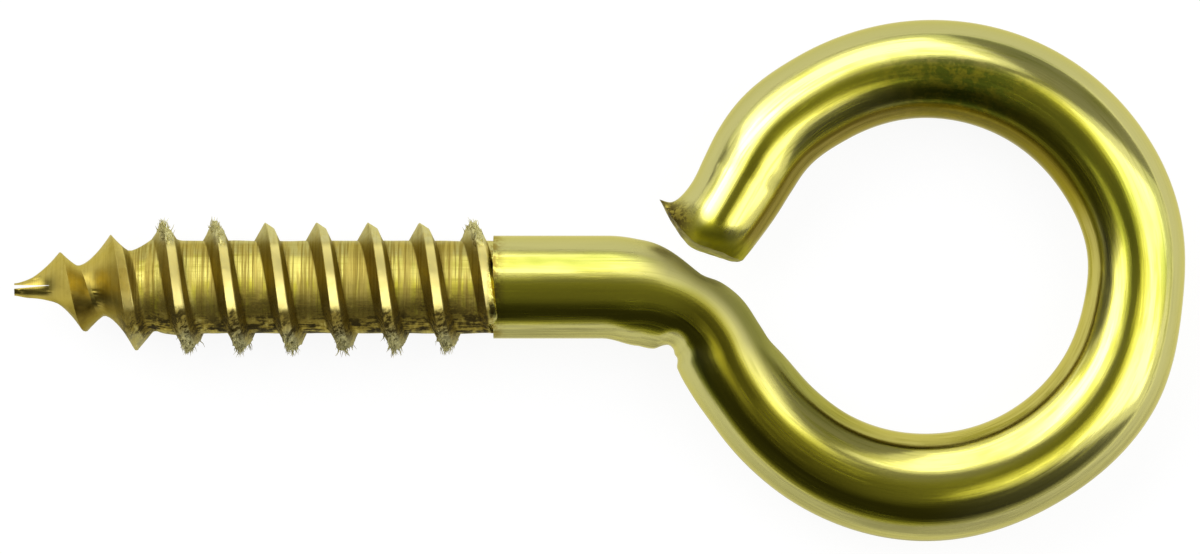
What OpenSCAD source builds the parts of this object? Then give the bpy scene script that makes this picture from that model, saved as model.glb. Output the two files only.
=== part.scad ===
// Screw eye: one length of brass wire, thread-rolled to a gimlet point at one end and bent
// into an open eye at the other. The eye lies in the XY plane with its centre at the origin,
// the shank points along -X, and +Z is the way through the eye.

/* [Wire] */
// Diameter of the wire
wire_d = 4; // [3.4:0.1:4.8]

/* [Eye] */
// Clear width inside the eye
eye_inner_d = 12.3; // [10:0.1:16]
// Where the round of the eye ends, in degrees round from +X
eye_end_angle = 150; // [120:1:155]

/* [Cut end] */
// Straight run of wire between the round of the eye and the furthest point of the cut
tail_length = 3.5; // [2.6:0.1:4]
// Slope of the cut on the eye's side of the wire, in degrees from square
cut_slope = 10; // [0:1:20]
// Slope of the cut on the outer side of the wire, in degrees from square
shear_slope = 25; // [10:1:35]
// Length of the corner that the shear rolled over, along the wire
rollover_length = 1.4; // [0.5:0.1:2]
// Depth of the rolled-over corner, across the wire
rollover_depth = 0.45; // [0.1:0.05:0.8]
// How far the burr left by the shear stands out past the wire
burr_reach = 0.5; // [0.1:0.05:0.8]
// Thickness of the burr where it leaves the wire
burr_root = 0.6; // [0.3:0.05:0.8]

/* [Neck] */
// Radius of the neck bend, to the middle of the wire
neck_bend_r = 3.8; // [3.2:0.1:6]
// Depth of the flat that the bend leaves on its outer side
flat_depth = 0.85; // [0:0.05:1]
// Height of the fold that the bend crushes up on its inner side
fold_height = 0.36; // [0:0.02:0.5]
// Depth of the crease beside the fold
crease_depth = 0.22; // [0:0.02:0.4]
// Height of the small lip between the crease and the round of the eye
lip_height = 0.16; // [0:0.02:0.3]

/* [Shank] */
// How far the shank's axis passes from the eye's centre
shank_offset = 0.35; // [0:0.05:1.2]
// Plain length between the thread and the neck bend
plain_length = 5.75; // [3:0.25:15]

/* [Thread] */
// Length from the tip of the point to the end of the thread
thread_length = 18.5; // [14:0.5:30]
// Distance from one turn to the next
pitch = 2; // [1.6:0.1:2.4]
// Diameter between the turns
core_d = 3.6; // [2.8:0.1:3.8]
// Diameter over the crests
major_d = 5; // [4.4:0.1:5.4]
// Width of a turn where it leaves the core
ridge_width = 0.85; // [0.6:0.05:1.2]
// Width of the crest
crest_width = 0.14; // [0.08:0.02:0.3]

/* [Point] */
// Length of the tapered point
point_length = 5.8; // [4:0.2:8]
// Diameter of the tip
tip_d = 0.56; // [0.4:0.02:0.8]
// Distance from the tip to the first full crest
first_crest = 1.75; // [1.4:0.05:2.4]
// Diameter over the first full crest
first_crest_d = 2.7; // [2.2:0.1:3]
// Width of the split in the tip
split_width = 0.14; // [0.08:0.02:0.2]
// Depth of the split in the tip
split_depth = 1.1; // [0.4:0.1:1.4]

/* [Hidden] */
$fn = 96;

// Angular steps in a turn of the thread, and points round a section of the neck
THREAD_STEPS = 32;
SECTION_STEPS = 32;
// A faceted length ends inside the round wire, this much under its surface and this far in
SINK = 0.02;
SINK_RUN = 0.3;

wire_r = wire_d / 2;
eye_r = (eye_inner_d + wire_d) / 2;

// The neck arc is tangent to the shank and to the round of the eye.
neck_y = -shank_offset - neck_bend_r;
neck_x = -sqrt(pow(eye_r + neck_bend_r, 2) - pow(neck_y, 2));
eye_start_angle = 180 + atan(neck_y / neck_x);
neck_turn = 270 - eye_start_angle;
neck_length = neck_bend_r * neck_turn * PI / 180;
shoulder_x = neck_x - plain_length;
tip_x = shoulder_x - thread_length;

// Where the marks of the bend lie, as lengths along the wire from the start of the neck arc
FLAT_START = -0.5;
FLAT_PEAK = 1.9;
FOLD_AT = 0.6;
FOLD_RUN = 1.7;
CREASE_RUN = 1.0;
CREASE_AT = FOLD_AT + FOLD_RUN + 0.5;
LIP_RUN = 1.6;
// The bend's marks die out this far along the round of the eye.
NECK_IN = 1.4;
NECK_OUT = 3;
NECK_STEP = 0.36;

// Where the two faces of the cut meet, from the wire's axis to its outer side
CUT_RIDGE = 0.5;
// How the point swells: 1 is a plain cone, more is hollow
POINT_CURVE = 1.2;
// A ridge's feet on the point, as shares of the pitch, and a point of its hollow flank, as
// shares of the flank's width and height
FRONT_FOOT = 0.6;
BACK_FOOT = 0.34;
FLANK = [0.5, 0.38];
// Turns over which the thread runs out
RUN_OUT = 0.36;
// How far ahead of the tip the wedge that splits it starts
SPLIT_LEAD = 1;

function clamp01(v) = min(1, max(0, v));
function ease(v) = let (t = clamp01(v)) t * t * (3 - 2 * t);
function hump(s, at, run) = abs(s - at) >= run ? 0 : (1 + cos(180 * (s - at) / run)) / 2;

// A closed skin over rings of points that all have the same number of points.
module skin(rings) {
    n = len(rings[0]);
    last = len(rings) - 1;
    polyhedron(
        points = [for (ring = rings, p = ring) p],
        faces = concat(
            [[for (i = [0 : n - 1]) i]],
            [for (k = [0 : last - 1], i = [0 : n - 1], half = [0, 1])
                let (a = k * n + i, b = k * n + (i + 1) % n)
                half == 0 ? [a, a + n, b] : [b, a + n, b + n]],
            [[for (i = [n - 1 : -1 : 0]) last * n + i]]
        )
    );
}

// --- Neck -----------------------------------------------------------------------------

// Centre of the wire at a length s along it, and the direction of the bend's outer side there
function neck_angle(s) = s / neck_bend_r * 180 / PI;
function eye_angle(s) = eye_start_angle + (s - neck_length) / eye_r * 180 / PI;
function outer_side(s) =
    s < 0 ? [0, 1]
    : s < neck_length ? [sin(neck_angle(s)), cos(neck_angle(s))]
    : -[cos(eye_angle(s)), sin(eye_angle(s))];
function wire_centre(s) =
    s < 0 ? [neck_x + s, -shank_offset]
    : s < neck_length ? [neck_x, neck_y] + neck_bend_r * outer_side(s)
    : -eye_r * outer_side(s);

neck_end = neck_length + NECK_OUT;
function flat_at(s) =
    flat_depth * (s < FLAT_PEAK
        ? ease((s - FLAT_START) / (FLAT_PEAK - FLAT_START))
        : 1 - ease((s - FLAT_PEAK) / (neck_end - FLAT_PEAK)));
function fold_at(s) =
    fold_height * hump(s, FOLD_AT, FOLD_RUN)
    - crease_depth * hump(s, CREASE_AT, CREASE_RUN)
    + lip_height * hump(s, neck_length, LIP_RUN);

// The wire's section at s: round, but flattened on the outer side and folded on the inner
function neck_section(s, r) = [
    for (i = [0 : SECTION_STEPS - 1])
        let (
            a = 360 * i / SECTION_STEPS,
            c = cos(a),
            across = r * c - c * c * (c > 0 ? flat_at(s) : fold_at(s)),
            p = wire_centre(s) + across * outer_side(s)
        )
        [p.x, p.y, r * sin(a)]
];

module neck() {
    count = ceil((neck_end + NECK_IN) / NECK_STEP);
    step = (neck_end + NECK_IN) / count;
    r = wire_r - SINK;
    skin([
        for (k = [-1 : count + 1])
            let (
                s = k < 0 ? -NECK_IN - SINK_RUN
                    : k > count ? neck_end + SINK_RUN
                    : -NECK_IN + k * step
            )
            neck_section(s, r)
    ]);
}

// --- Eye and its cut end ----------------------------------------------------------------

// Both modules are drawn with the end of the round at [eye_r, 0] and the tail along +Y,
// so that +X is the wire's outer side. Heights of the cut face at a distance x from the axis:
function cut_height(x) =
    tail_length - (x < CUT_RIDGE ? (CUT_RIDGE - x) * tan(cut_slope) : (x - CUT_RIDGE) * tan(shear_slope));

// What the shears left of the wire: two cut faces that meet in a ridge, and a rolled-over corner
module cut_outline() {
    wide = 2 * wire_d;
    corner = rollover_depth - wire_r;
    corner_y = cut_height(corner);
    roll = rollover_length / rollover_depth;
    polygon([
        [wide, -wide],
        [wide, cut_height(wide)],
        [CUT_RIDGE, tail_length],
        [corner, corner_y],
        [corner - wire_d, corner_y - wire_d * roll],
        [corner - wire_d, -wide]
    ]);
}

module along_tail(height, r) {
    rotate([-90, 0, 0]) cylinder(h = height, r = r);
}

// The lip of metal that the shears dragged past the wire's outer side
module burr() {
    tip = wire_r + burr_reach;
    rise = (cut_height(wire_r) - burr_root - cut_height(tip)) / burr_reach;
    intersection() {
        translate([burr_reach, 0, 0]) along_tail(tail_length, wire_r);
        linear_extrude(2 * wire_d, center = true)
            polygon([
                [tip + burr_reach, cut_height(tip) - rise * burr_reach],
                [tip + burr_reach, 2 * tail_length],
                [0, 2 * tail_length],
                [0, cut_height(tip) + rise * tip]
            ]);
    }
}

module tail() {
    intersection() {
        linear_extrude(2 * wire_d, center = true) cut_outline();
        union() {
            along_tail(tail_length, wire_r);
            burr();
        }
    }
}

module eye() {
    turn = 360 + eye_end_angle - eye_start_angle - NECK_OUT / eye_r * 180 / PI;
    rotate(eye_end_angle) {
        rotate_extrude(angle = -turn)
            translate([eye_r, 0]) circle(r = wire_r);
        translate([eye_r, 0, 0]) tail();
    }
}

// --- Shank ------------------------------------------------------------------------------

module shank() {
    translate([shoulder_x, -shank_offset, 0])
        rotate([0, 90, 0])
            cylinder(h = plain_length - NECK_IN, r = wire_r);
}

// --- Thread and point -------------------------------------------------------------------

// Radius of the core and of the crest at a distance x from the tip
function core_r_at(x) = tip_d / 2 + (core_d - tip_d) / 2 * pow(clamp01(x / point_length), POINT_CURVE);
function crest_cone(x) =
    first_crest_d / 2 + (x - first_crest) * (major_d - first_crest_d) / 2 / (point_length - first_crest - pitch / 2);
function ridge_fade(x) =
    ease((x - first_crest + pitch / 2) / (pitch / 2)) * (1 - ease((x - run_out_x) / (thread_length - run_out_x)));
function crest_r_at(x) =
    core_r_at(x) + ridge_fade(x) * (min(major_d / 2, crest_cone(x)) - core_r_at(x));

// The ridge's section as [distance from the crest's middle, share of the crest's height].
// On the point its foot reaches across the whole of the valley before it.
function ridge_section(x) =
    let (
        on_point = 1 - ease((x - point_length / 2) / (point_length / 2)),
        front = ridge_width / 2 + on_point * (FRONT_FOOT * pitch - ridge_width / 2),
        back = ridge_width / 2 + on_point * (BACK_FOOT * pitch - ridge_width / 2),
        flat = crest_width / 2
    )
    [
        [-front, 0], [-flat - (front - flat) * FLANK.x, FLANK.y],
        [-flat, 1], [flat, 1],
        [flat + (back - flat) * FLANK.x, FLANK.y], [back, 0]
    ];

// The skin is made of lines that run along the helix. Line m passes the angular step i at
// thread_x(m, i). A line that runs off an end is replaced by the end's own ring of points.
ridge_lines = 6;
turns = ceil(thread_length / pitch) + 1;
line_count = ridge_lines * turns;
run_out_x = thread_length - RUN_OUT * pitch;

function crest_x(m, i) = first_crest + pitch * (floor(m / ridge_lines) - 1 + i / THREAD_STEPS);
function line_part(m, i) = ridge_section(crest_x(m, i))[m % ridge_lines];
function thread_x(m, i) = crest_x(m, i) + line_part(m, i)[0];
function thread_r(m, i) =
    let (x = thread_x(m, i))
    core_r_at(x) + line_part(m, i)[1] * (crest_r_at(x) - core_r_at(x));
function thread_point(x, r, i) = [x, r * cos(360 * i / THREAD_STEPS), r * sin(360 * i / THREAD_STEPS)];

// The number of the point that line m has at step i. Past the last step, a line goes on as the
// one of the next turn.
stride = line_count + 3;
function point_id(m, i) =
    i >= THREAD_STEPS ? point_id(m + ridge_lines, i - THREAD_STEPS)
    : m < 0 || (m < line_count && thread_x(m, i) <= 0) ? i * stride
    : m >= line_count || thread_x(m, i) >= thread_length ? i * stride + line_count + 1
    : i * stride + 1 + m;
function facet(a, b, c) = a == b || b == c || c == a ? [] : [[a, b, c]];

module thread() {
    end_r = wire_r - SINK;
    points = [
        for (i = [0 : THREAD_STEPS - 1], m = [-1 : line_count + 1])
            m < 0 ? thread_point(0, tip_d / 2, i)
            : m < line_count ? thread_point(thread_x(m, i), thread_r(m, i), i)
            : thread_point(thread_length + (m - line_count) * SINK_RUN, end_r, i)
    ];
    faces = [
        [for (i = [0 : THREAD_STEPS - 1]) i * stride],
        [for (i = [THREAD_STEPS - 1 : -1 : 0]) i * stride + line_count + 2],
        for (i = [0 : THREAD_STEPS - 1], m = [-ridge_lines - 1 : line_count])
            let (a = point_id(m, i), b = point_id(m, i + 1), c = point_id(m + 1, i), d = point_id(m + 1, i + 1))
            each concat(facet(a, c, b), facet(b, c, d)),
        for (i = [0 : THREAD_STEPS - 1])
            let (a = i * stride + line_count + 1, b = (i + 1) % THREAD_STEPS * stride + line_count + 1)
            each [[a, a + 1, b], [b, a + 1, b + 1]]
    ];
    translate([tip_x, -shank_offset, 0])
        polyhedron(points = points, faces = faces);
}

// The two halves of the tip part a little, as where a point is pinched off.
module split() {
    half = split_width / 2 * (1 + SPLIT_LEAD / split_depth);
    translate([tip_x, -shank_offset, 0])
        linear_extrude(major_d, center = true)
            polygon([[-SPLIT_LEAD, half], [-SPLIT_LEAD, -half], [split_depth, 0]]);
}

module screw_eye() {
    color("#c9b84a") {
        difference() {
            thread();
            split();
        }
        shank();
        neck();
        eye();
    }
}

screw_eye();
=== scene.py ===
# %% [markdown]
# # A brass screw eye
# A screw eye is one brass wire with a wood thread and a gimlet point at one end, bent at the
# other into an open eye. The construction comes from a packed CAD model, which also says how
# big everything is. This notebook models the wire again with a finer skin, because polished
# metal shows every facet, and gives it its finish, its wear, a floor and a plain studio.
#
# Lengths are in metres, and the frame is the CAD model's own: the centre of the eye is the
# origin, the shank points along -X, and the piece lies flat with +Z up.

# %% Load the frame
from collections import Counter
from math import atan2, cos, degrees, hypot, pi, radians, sin, sqrt, tan
from random import Random

import bmesh
import bpy
from mathutils import Matrix, Vector, noise


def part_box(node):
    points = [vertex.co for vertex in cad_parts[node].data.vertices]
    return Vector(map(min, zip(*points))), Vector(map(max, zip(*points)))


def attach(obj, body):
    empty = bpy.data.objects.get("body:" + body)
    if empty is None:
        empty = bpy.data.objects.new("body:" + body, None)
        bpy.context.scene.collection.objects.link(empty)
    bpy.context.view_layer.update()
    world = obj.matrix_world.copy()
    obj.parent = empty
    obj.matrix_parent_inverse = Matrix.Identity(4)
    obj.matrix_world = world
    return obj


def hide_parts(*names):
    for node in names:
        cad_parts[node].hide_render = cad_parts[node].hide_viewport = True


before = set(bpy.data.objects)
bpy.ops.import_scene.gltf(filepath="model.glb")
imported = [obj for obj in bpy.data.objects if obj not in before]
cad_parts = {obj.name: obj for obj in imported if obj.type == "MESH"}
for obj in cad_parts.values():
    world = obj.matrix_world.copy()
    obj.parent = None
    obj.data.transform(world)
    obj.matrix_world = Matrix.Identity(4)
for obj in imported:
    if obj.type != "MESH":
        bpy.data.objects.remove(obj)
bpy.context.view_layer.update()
scene = bpy.context.scene
MM = 0.001
low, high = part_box("screw_eye")
print("CAD box, mm:", [round(v / MM, 2) for v in low], [round(v / MM, 2) for v in high])

# %% [markdown]
# ## The sizes of the wire
# A few sizes drive the whole shape. The wire is 4 mm thick. The eye is a round of wire whose
# middle line has the radius `EYE_R`, and the neck is a tighter arc that turns the other way.
# The two arcs touch, which fixes where the neck starts and how far it turns, so neither has
# to be measured. The eye ends in a short straight tail.

# %% Sizes, in metres
WIRE_R = 2.0 * MM
EYE_R = 8.15 * MM
EYE_END = radians(150)
NECK_R = 3.8 * MM
SHANK_Y = -0.35 * MM
SHANK_LENGTH = 5.75 * MM
THREAD_LENGTH = 18.5 * MM
TAIL = 3.5 * MM

NECK_Y = SHANK_Y - NECK_R
NECK_X = -sqrt((EYE_R + NECK_R) ** 2 - NECK_Y ** 2)
EYE_START = pi + atan2(-NECK_Y, -NECK_X)
EYE_TURN = 2 * pi + EYE_END - EYE_START
NECK_TURN = 1.5 * pi - EYE_START
SHOULDER_X = NECK_X - SHANK_LENGTH
TIP_X = SHOULDER_X - THREAD_LENGTH
TAIL_OUT = Vector((cos(EYE_END), sin(EYE_END), 0))
TAIL_ALONG = Vector((cos(EYE_END + pi / 2), sin(EYE_END + pi / 2), 0))
print("the neck turns", round(degrees(NECK_TURN), 1), "degrees")
print("the tip is at", round(TIP_X / MM, 2), "mm")

# %% [markdown]
# ## Soft steps
# The marks that tools leave on metal have no hard borders: they fade in, reach their full
# depth and fade out. Four small functions describe that, and every shape below uses them.


# %% Soft steps
def clamp(v):
    """Keeps v between 0 and 1."""
    return min(1.0, max(0.0, v))


def ease(v):
    """Goes from 0 to 1 with a soft start and a soft end."""
    t = clamp(v)
    return t * t * (3 - 2 * t)


def hump(v, at, run):
    """Rises softly to 1 at its middle, and is 0 from one run away on either side."""
    return (1 + cos(pi * (v - at) / run)) / 2 if abs(v - at) < run else 0.0


def between(v, stops):
    """A smooth line through a short list of (place, value) pairs, level at both ends."""
    if v <= stops[0][0]:
        return stops[0][1]
    if v >= stops[-1][0]:
        return stops[-1][1]
    i = next(i for i in range(1, len(stops)) if v <= stops[i][0])

    def slope(k):
        if k in (0, len(stops) - 1):
            return 0.0
        return (stops[k + 1][1] - stops[k - 1][1]) / (stops[k + 1][0] - stops[k - 1][0])

    (a, low_value), (b, high_value) = stops[i - 1], stops[i]
    t, run = (v - a) / (b - a), b - a
    rise = high_value - low_value
    return (low_value + rise * t * t * (3 - 2 * t)
            + run * t * (1 - t) * (slope(i - 1) * (1 - t) - slope(i) * t))


print("a soft step at a quarter of its way:", ease(0.25))

# %% [markdown]
# ## Bending the wire
# The real wire is fed straight and bent round pins. The same moves make the mesh: a circle
# the size of the wire is extruded along the shank, spun round the centre of the neck, spun
# back the other way round the centre of the eye, and extruded again for the straight tail.
# A curve with a round bevel could give the same tube, but here each step leaves one ring of
# vertices, so the rings can be shaped later, one by one. The cut end gets a few smaller
# rings inside each other, so that its face can bulge.

# %% Extrude and spin the wire
SIDES = 96
SHANK_STEPS, NECK_STEPS, EYE_STEPS, TAIL_STEPS, FACE_RINGS = 36, 64, 200, 40, 8
FACE_MIDDLE = 0.4  # the smallest ring on the cut face, in gaps between rings
WIRE_START = SHOULDER_X + 0.12 * MM  # just past the shoulder, inside the end of the thread


def deselect_all():
    if bpy.context.mode != "OBJECT":
        bpy.ops.object.mode_set(mode="OBJECT")
    bpy.ops.object.select_all(action="DESELECT")


def pull(steps, along):
    for _ in range(steps):
        bpy.ops.mesh.extrude_region_move(TRANSFORM_OT_translate={"value": along / steps})


def fill_face(middle):
    """Closes in on the middle of the cut face, ring by ring, with even gaps."""
    for left in range(FACE_RINGS, 0, -1):
        bpy.ops.mesh.extrude_region_move(TRANSFORM_OT_translate={"value": (0, 0, 0)})
        share = (left - 1 + FACE_MIDDLE) / (left + FACE_MIDDLE)
        bpy.ops.transform.resize(value=(share,) * 3, center_override=middle)


def bend_wire():
    deselect_all()
    bpy.ops.mesh.primitive_circle_add(
        vertices=SIDES, radius=WIRE_R, fill_type="NGON",
        location=(WIRE_START, SHANK_Y, 0), rotation=(0, pi / 2, 0),
    )
    wire = bpy.context.object
    bpy.ops.object.transform_apply(location=True, rotation=True, scale=True)
    bpy.ops.object.mode_set(mode="EDIT")
    bpy.ops.mesh.select_all(action="SELECT")
    pull(SHANK_STEPS, Vector((NECK_X - WIRE_START, 0, 0)))
    bpy.ops.mesh.spin(
        steps=NECK_STEPS, angle=NECK_TURN, center=(NECK_X, NECK_Y, 0), axis=(0, 0, 1)
    )
    bpy.ops.mesh.spin(steps=EYE_STEPS, angle=EYE_TURN, center=(0, 0, 0), axis=(0, 0, -1))
    pull(TAIL_STEPS, TAIL_ALONG * TAIL)
    fill_face(TAIL_OUT * EYE_R + TAIL_ALONG * TAIL)
    bpy.ops.object.mode_set(mode="OBJECT")
    wire.name = "bent_wire"
    return wire


wire = bend_wire()
rings = [wire.data.vertices[i:i + SIDES] for i in range(0, len(wire.data.vertices), SIDES)]
print("the bent wire has", len(rings), "rings, size", [round(v / MM, 2) for v in wire.dimensions])
thick = [max(v.co.z for v in ring) - min(v.co.z for v in ring) for ring in rings[:-FACE_RINGS]]
print("thickest ring", round(max(thick) / MM, 3), "mm")

# %% [markdown]
# ## What bending does to a wire
# Tools and hands leave their marks. The wire stretches and thins where it turns round a pin,
# the outside of the tight neck goes flat, and its inside folds up against the straight shank
# with a sharp crease. The round of the eye is never quite true. Sculpting by hand could show
# all this, but it couldn't be repeated. So every ring learns how far along the wire it sits,
# and each mark is a short list of depths along that distance. The lists move the vertices
# across the wire and up or down.


# %% Measure every ring
def measure_rings(rings):
    """Gives each ring its middle, the direction across the wire, and its distance along it."""
    ends = len(rings) - FACE_RINGS
    middles = [sum((v.co for v in ring), Vector()) / len(ring) for ring in rings]
    stations, run = [], 0.0
    for i, middle in enumerate(middles):
        if 0 < i < ends:
            run += (middle - middles[i - 1]).length
        ahead = middles[min(i + 1, ends - 1)] - middles[max(min(i, ends - 1) - 1, 0)]
        across = Vector((-ahead.y, ahead.x, 0)).normalized()
        stations.append((middle, across, run + middles[0].x - SHOULDER_X))
    return stations


stations = measure_rings(rings)
NECK_AT = NECK_X - SHOULDER_X
EYE_AT = NECK_AT + NECK_R * NECK_TURN
TAIL_AT = EYE_AT + EYE_R * EYE_TURN
END_AT = TAIL_AT + TAIL
print("along the wire, mm: neck", round(NECK_AT / MM, 2), "eye", round(EYE_AT / MM, 2),
      "tail", round(TAIL_AT / MM, 2), "end", round(END_AT / MM, 2))

# %% Mark the bends
SLIM = [  # how thick the wire is: degrees round the eye, share of the full thickness
    (200, 1.0), (212, 1.0), (232, 1.0), (270, 1.045), (300, 1.01), (330, 1.02),
    (358, 0.945), (390, 0.99), (425, 0.98), (460, 0.945), (490, 0.94), (505, 0.925), (512, 0.9),
]
DRIFT = [  # how far the round wanders outwards: degrees round the eye, mm
    (200, 0.0), (213, -0.06), (225, -0.05), (240, -0.02), (270, -0.02), (300, -0.07), (330, 0.01),
    (352, -0.08), (372, 0.06), (395, 0.04), (420, 0.02), (450, -0.03), (480, -0.06),
    (496, 0.02), (512, -0.1),
]
FLAT = [  # how far the outside of the neck is pressed in: mm past its start, mm
    (-1.2, 0.0), (0.3, 0.22), (1.9, 0.85), (2.6, 0.68), (3.3, 0.58), (4.2, 0.55), (5.8, 0.2),
    (7.8, 0.05), (9.5, 0.0),
]
FOLD = [  # how far its inside is pushed out, with the crease as a dip: mm past its start, mm
    (-1.4, 0.0), (-0.1, 0.28), (1.5, 0.28), (2.4, -0.12), (2.9, -0.14), (3.3, -0.04),
    (3.7, -0.02), (4.4, 0.16), (5.5, 0.08), (6.8, 0.0),
]


def shape_wire(rings, stations):
    """Thins the wire, lets the eye wander, and presses the flat and the fold into the neck."""
    for ring, (middle, across, s) in zip(rings, stations):
        turned = degrees(max(s - EYE_AT, 0) / EYE_R) + degrees(EYE_START)
        slim = between(turned, SLIM)
        drift = -between(turned, DRIFT) * MM
        past_neck = (s - NECK_AT) / MM
        flat, fold = between(past_neck, FLAT) * MM, between(past_neck, FOLD) * MM
        for v in ring:
            aside = (v.co - middle).dot(across) * slim
            outer, inner = max(aside, 0) / WIRE_R, max(-aside, 0) / WIRE_R
            aside -= flat * outer ** 2
            aside -= fold * inner ** 2
            v.co = middle + across * (aside + drift) + Vector((0, 0, v.co.z * slim))


shape_wire(rings, stations)
wire.data.update()
print("shaped wire, mm:", [round(v / MM, 2) for v in wire.dimensions])

# %% [markdown]
# ## The cut end
# The wire was nipped off with a blunt tool. The cut is not square: it leans, it bulges a
# little, and it has dragged a lip of metal out past the side of the wire. A Boolean cutter
# would leave a clean edge, so the end rings are moved onto that face instead: a short list
# gives how far out the cut lies across the wire, and a slope makes it lean from the top of
# the wire to the bottom.

# %% Shape the cut end
CUT = [  # across the wire outwards, mm: how far along the tail the cut lies, mm
    (-1.9, 2.9), (-1.45, 3.2), (-0.6, 3.36), (0.3, 3.52), (0.9, 3.38), (1.6, 3.08), (2.5, 2.66),
]
CUT_LEAN, CUT_SHIFT = 0.08, 0.04 * MM
LIP_FROM, LIP_WIDTH, LIP_PULL, LIP_MOST = 1.1 * MM, 0.75 * MM, 0.95 * MM, 1.2
LIP_ROUNDING = 0.3  # how much less the lip is pulled out at the top and bottom of the wire
SQUEEZE_AT, SQUEEZE_OUTER = 0.42, 0.1 * MM  # the share of the tail where it is slimmest
SPREAD_INNER = 0.3 * MM
ROUNDED_OFF, ROUNDED_FROM = 0.36, 0.55  # the height lost at the cut, and where that starts
LUMP_HEIGHT, LUMP_SIZE = 0.02 * MM, 0.35 * MM


def shape_end(rings, stations):
    root = TAIL_OUT * EYE_R
    for ring, (_, _, s) in zip(rings, stations):
        if s < TAIL_AT:
            continue
        part = (s - TAIL_AT) / TAIL
        for v in ring:
            across = (v.co - root).dot(TAIL_OUT)
            z = v.co.z
            reach = part ** 3
            lip = min(max(across - LIP_FROM, 0) / LIP_WIDTH, LIP_MOST)
            side = abs(z) / WIRE_R
            across += LIP_PULL * reach ** 2.6 * lip ** 1.5 * (1 - LIP_ROUNDING * side)
            squeeze = hump(part, SQUEEZE_AT, SQUEEZE_AT)
            across -= SQUEEZE_OUTER * squeeze * clamp(across / WIRE_R)
            if z > 0:
                z *= 1 - ROUNDED_OFF * clamp((part - ROUNDED_FROM) / (1 - ROUNDED_FROM)) ** 3
            across += SPREAD_INNER * part ** 2 * clamp(-across / WIRE_R)
            lumps = LUMP_HEIGHT * noise.noise(Vector((across, z, 0)) / LUMP_SIZE) * reach
            cut = between(across / MM, CUT) * MM - CUT_LEAN * (z + WIRE_R) + CUT_SHIFT
            v.co = root + TAIL_OUT * across + TAIL_ALONG * (part * cut + lumps) + Vector((0, 0, z))


shape_end(rings, stations)
wire.data.update()
print("with its cut end, mm:", [round(v / MM, 2) for v in wire.dimensions])

# %% [markdown]
# ## The wood thread
# A wood thread is rolled or cut into the end of the wire: a thin sharp ridge winds round a
# slimmer core, and both run down to a gimlet point that bites before the screw is turned.
# Near the point the ridge grows fat and fills the valley, and at the shoulder it runs out.
# A ridge could be a separate ribbon laid on a cone, but its foot would show. Here one pitch
# of outline is swept by a Screw modifier into one skin, and the code then says how far from
# the middle line each of its vertices lies.

# %% Sizes of the thread
PITCH = 2.0 * MM
CORE_R = 1.8 * MM
POINT = 5.8 * MM
TIP_R, TIP_SWELL, TIP_RUN = 0.21 * MM, 0.06 * MM, 0.6 * MM
FIRST_CREST = 1.75 * MM
THREAD_START = TIP_X + FIRST_CREST - 2 * PITCH
FRONT_FLANK, STRAND, BACK_FLANK = 0.38, 0.32, 0.22  # widths along the screw, mm
STRAND_FALL = 0.3  # how much lower the back of the strand is
FAT_FRONT, FAT_BACK = 1.15, 0.72  # widths of the two flanks near the point, mm
FAT_TO, FAT_FADE = 4.2 * MM, 3.4 * MM  # past the tip
RUN_OUT, RUN_OUT_PAST = 0.9 * MM, 0.35 * MM
CREST = [  # how high the crest stands near the point: mm past the tip, mm from the middle
    (0.9, 0.3), (1.75, 1.35), (2.7, 1.72), (3.8, 2.05), (5.0, 2.5),
]


def core_r_at(x):
    along = clamp((x - TIP_X) / POINT)
    blunt = TIP_R + TIP_SWELL * ease((x - TIP_X) / TIP_RUN)
    return blunt + (CORE_R - blunt) * along ** 1.2


def ridge_share(p, x):
    """How high the outline stands, as a share, at p from the crest: fat near the point."""
    p = p / MM
    if p < 0:
        slim = clamp(1 + p / FRONT_FLANK)
    elif p < STRAND:
        slim = 1 - STRAND_FALL * p / STRAND
    else:
        slim = (1 - STRAND_FALL) * clamp(1 - (p - STRAND) / BACK_FLANK)
    fat = clamp(1 + p / FAT_FRONT) ** 1.7 if p < 0 else clamp(1 - p / FAT_BACK) ** 1.25
    return fat + (slim - fat) * ease((x - TIP_X - FAT_TO) / FAT_FADE)


def crest_r_at(x):
    past = (x - TIP_X) / MM
    full = between(past, CREST) * MM
    if past > CREST[-1][0]:
        full = CORE_R + (full - CORE_R) * ease((SHOULDER_X + RUN_OUT_PAST - x) / RUN_OUT)
    return max(core_r_at(x), full)


for name, x in (("tip", TIP_X), ("middle", TIP_X + THREAD_LENGTH / 2), ("shoulder", SHOULDER_X)):
    print("at the", name, "core and crest, mm:",
          round(core_r_at(x) / MM, 2), round(crest_r_at(x) / MM, 2))

# %% Sweep one pitch of thread
ROUND_STEPS = 128
OUTLINE = [  # places along one pitch, measured from the crest, mm
    -1.0, -0.84, -0.68, -0.54, -0.44, -0.38, -0.3, -0.22, -0.15, -0.09, -0.04, 0.0,
    0.05, 0.12, 0.2, 0.27, 0.32, 0.37, 0.43, 0.49, 0.54, 0.64, 0.8, 1.0,
]


def chain_of_points(places, radius):
    """One row of joined points along X, made from a single corner of a plane."""
    deselect_all()
    bpy.ops.mesh.primitive_plane_add(size=MM, location=(0, 0, 0))
    chain = bpy.context.object
    bpy.ops.object.mode_set(mode="EDIT")
    bpy.ops.mesh.select_all(action="SELECT")
    bpy.ops.mesh.merge(type="CENTER")
    bpy.ops.transform.translate(value=(places[0], radius, 0))
    for a, b in zip(places, places[1:]):
        bpy.ops.mesh.extrude_region_move(TRANSFORM_OT_translate={"value": (b - a, 0, 0)})
    bpy.ops.object.mode_set(mode="OBJECT")
    return chain


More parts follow.
